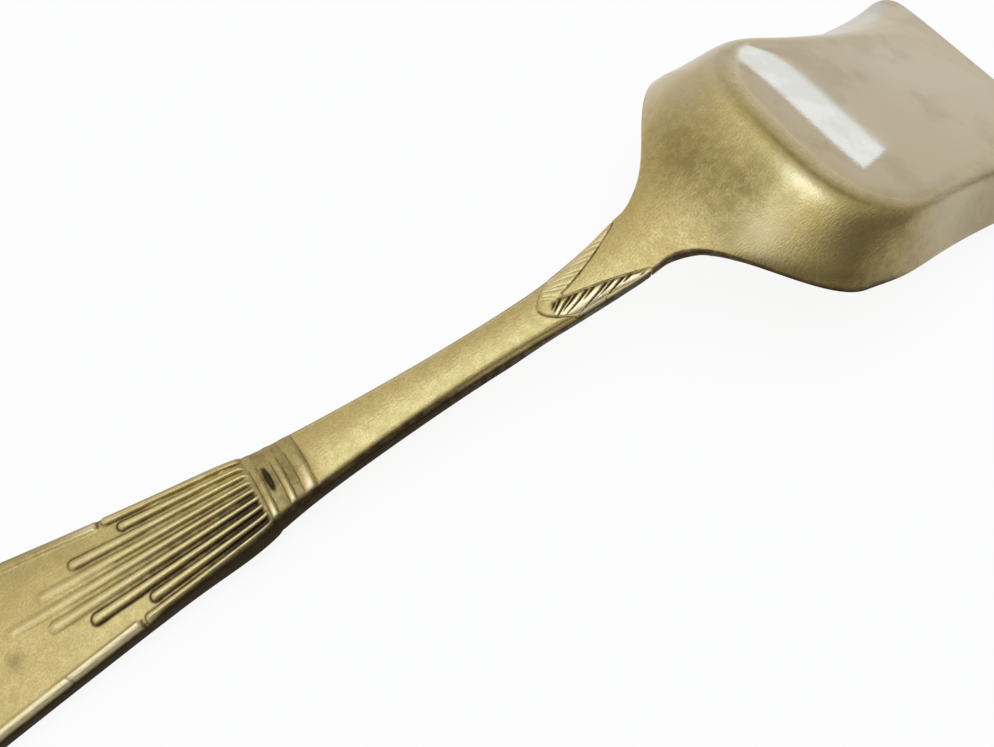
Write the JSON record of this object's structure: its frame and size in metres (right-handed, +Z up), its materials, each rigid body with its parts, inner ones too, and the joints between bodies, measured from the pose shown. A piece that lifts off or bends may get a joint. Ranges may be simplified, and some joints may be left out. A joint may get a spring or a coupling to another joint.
{
  "type": "sugar spoon",
  "caption": "Gilt sugar spoon lying face down, with a flat-based shovel bowl soldered by its tongue into the forked leaf of a reeded, banded handle.",
  "frame": {"origin": "centre of the bounding box, on the level that the spoon lies on", "axes": "+X from the handle's end to the bowl's lip, +Y across the spoon, +Z up, out of the spoon's back"},
  "size_m": [0.1452, 0.0368, 0.0173],
  "materials": {
    "gilt_handle": "satin gilt with dark tarnish in the grooves",
    "gilt_bowl": "satin gilt, worn and finely scratched",
    "silver_solder": "dull, tarnished"
  },
  "bodies": {
    "root": {"handle": "gilt_handle", "bowl": "gilt_bowl", "solder_seam": "silver_solder"}
  },
  "joints": []
}
